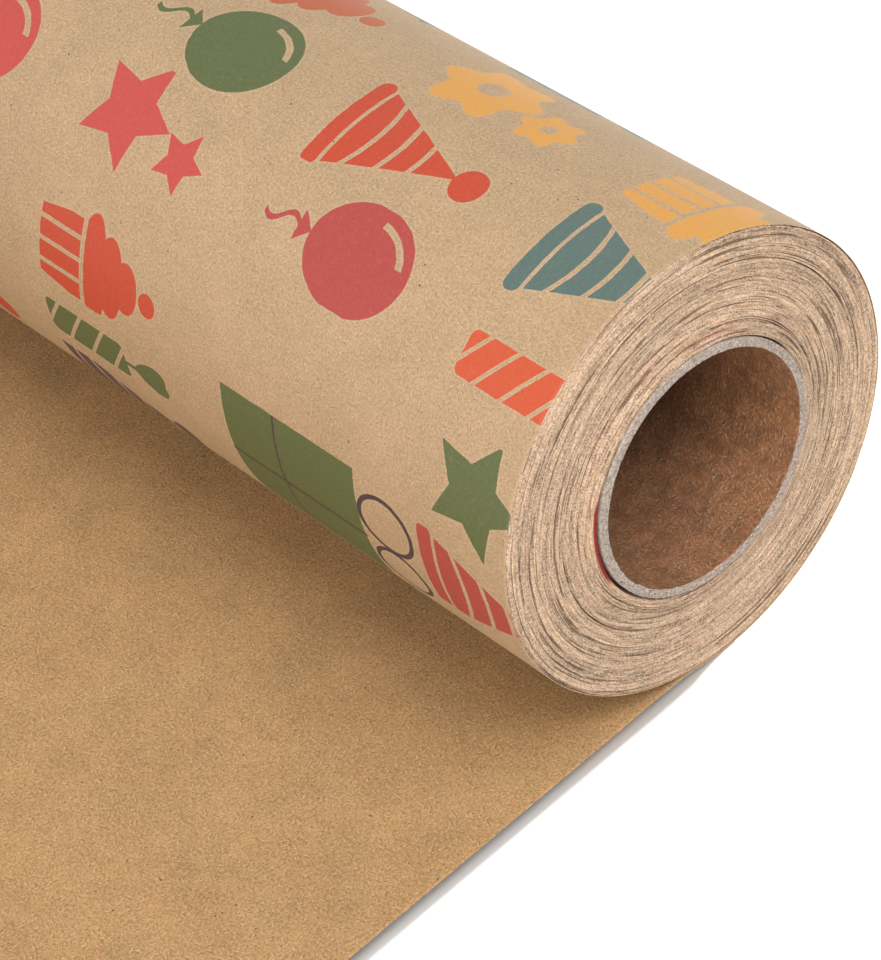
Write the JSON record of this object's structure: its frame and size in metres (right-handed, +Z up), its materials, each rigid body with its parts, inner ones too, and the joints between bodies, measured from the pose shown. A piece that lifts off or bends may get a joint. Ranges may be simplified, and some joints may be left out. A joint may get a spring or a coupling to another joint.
{
  "type": "wrapping paper roll",
  "caption": "Roll of printed kraft gift wrap on a spiral-wound cardboard core, with its loose end pulled out flat; it rolls up along the loose paper.",
  "frame": {"origin": "middle of the core's bore, on its axis", "axes": "+Y along the core's axis, +Z up, and the loose end of the paper lies flat towards -X"},
  "size_m": [0.2969, 0.4472, 0.0741],
  "materials": {
    "printed_paper": "matt kraft paper with a colour print on its outer face",
    "plain_paper": "matt kraft paper, plain face up",
    "paper_edges": "cut edges of wound kraft paper",
    "core_liner": "matt brown kraft liner",
    "core_board": "grey chipboard, rough at its cut edge",
    "tape": "cream double-sided tape"
  },
  "bodies": {
    "loose_paper": {"loose_sheet": "plain_paper"},
    "leaving_paper": {"leaving_bend": "printed_paper"},
    "roll": {"core_inner_liner": "core_liner", "core_board_ply_1": "core_board", "core_board_ply_2": "core_board", "core_board_ply_3": "core_board", "core_outer_liner": "core_board", "start_tape": "tape", "wound_turns": "paper_edges", "outer_turn": "printed_paper"}
  },
  "joints": [
    {"name": "roll_travel", "type": "slide", "parent": "loose_paper", "child": "leaving_paper", "axis": [-1, 0, 0], "range_m": [0, 0.22], "deforming": ["loose_sheet"]},
    {"name": "roll_spin", "type": "hinge", "parent": "leaving_paper", "child": "roll", "pos_m": [0, 0, 0], "axis": [0, -1, 0], "range_deg": [0, 342]}
  ],
  "couplings": [
    {"joint": "roll_spin", "follows": "roll_travel", "rad_per_m": 27.1}
  ]
}
